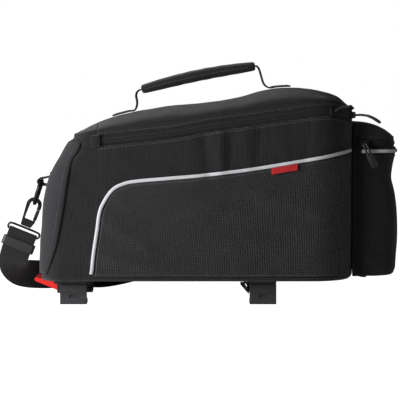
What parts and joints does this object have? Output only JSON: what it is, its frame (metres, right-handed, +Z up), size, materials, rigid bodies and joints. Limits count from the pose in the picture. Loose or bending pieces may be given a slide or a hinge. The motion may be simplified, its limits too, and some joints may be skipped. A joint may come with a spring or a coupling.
{
  "type": "bicycle trunk bag",
  "caption": "Soft wedge-shaped trunk bag with zipped lid, rear pocket, carrying handle and shoulder strap, on an adapter with feet that clip to a bicycle's luggage rack.",
  "frame": {"origin": "centre of the adapter plate's flat underside, where the bag seats on a rack", "axes": "+X towards the rear of the bicycle, +Y to the far side, +Z up"},
  "size_m": [0.4103, 0.2317, 0.2432],
  "materials": {
    "body_cloth": "black coated polyester, fine weave",
    "ribbed_cloth": "black polyester, coarse diagonal weave",
    "front_cloth": "dark grey polyester",
    "zip_tape": "black zip tape and coil",
    "reflective": "light grey reflective piping",
    "red_label": "bare red woven tape",
    "webbing": "black woven webbing",
    "black_metal": "black satin",
    "black_plastic": "black moulded",
    "grey_plastic": "dark grey glass-filled",
    "red_plastic": "red moulded"
  },
  "bodies": {
    "bag": {"adapter_plate": "grey_plastic", "adapter_rail_front": "grey_plastic", "adapter_rail_rear": "grey_plastic", "body_shell": "body_cloth", "foot_brace_far": "grey_plastic", "foot_brace_near": "grey_plastic", "foot_front_far": "grey_plastic", "foot_front_near": "grey_plastic", "foot_rear_far": "grey_plastic", "foot_rear_near": "grey_plastic", "front_panel": "front_cloth", "handle_grip": "webbing", "handle_web_front": "webbing", "handle_web_rear": "webbing", "hook_front": "black_metal", "hook_rear": "black_metal", "lever_ear_far": "black_plastic", "lever_ear_near": "black_plastic", "lever_pin": "black_metal", "lid": "body_cloth", "main_zip": "zip_tape", "piping_far": "reflective", "piping_near": "reflective", "pocket_lid": "body_cloth", "pocket_piping": "reflective", "pocket_zip": "zip_tape", "rear_pocket": "body_cloth", "ring_front": "black_metal", "ring_rear": "black_metal", "shoulder_strap": "webbing", "side_label": "red_label", "side_panel_far": "ribbed_cloth", "side_panel_near": "ribbed_cloth", "strap_eye_front": "black_metal", "strap_eye_rear": "black_metal", "strap_slider": "black_plastic", "web_loop_front": "webbing", "web_loop_rear": "webbing", "zip_end_far": "body_cloth", "zip_end_near": "body_cloth", "zip_pull_lower": "black_plastic", "zip_pull_pocket": "black_plastic", "zip_pull_upper": "black_plastic", "zip_slider_lower": "black_metal", "zip_slider_pocket": "black_metal", "zip_slider_upper": "black_metal"},
    "lever": {"release_lever": "red_plastic"},
    "front_gate": {"hook_gate_front": "black_metal"},
    "rear_gate": {"hook_gate_rear": "black_metal"}
  },
  "joints": [
    {"name": "lever_hinge", "type": "hinge", "parent": "bag", "child": "lever", "pos_m": [-0.10795, 0, -0.0085], "axis": [0, -1, 0], "range_deg": [0, 20], "stiffness_Nm_per_rad": 0.05},
    {"name": "front_gate_hinge", "type": "hinge", "parent": "bag", "child": "front_gate", "pos_m": [-0.13913, 0, 0.0601], "axis": [0, -1, 0], "range_deg": [0, 20], "stiffness_Nm_per_rad": 0.02},
    {"name": "rear_gate_hinge", "type": "hinge", "parent": "bag", "child": "rear_gate", "pos_m": [0.17713, 0.09031, 0.11026], "axis": [-0.8192, 0.5736, 0], "range_deg": [0, 20], "stiffness_Nm_per_rad": 0.02}
  ]
}
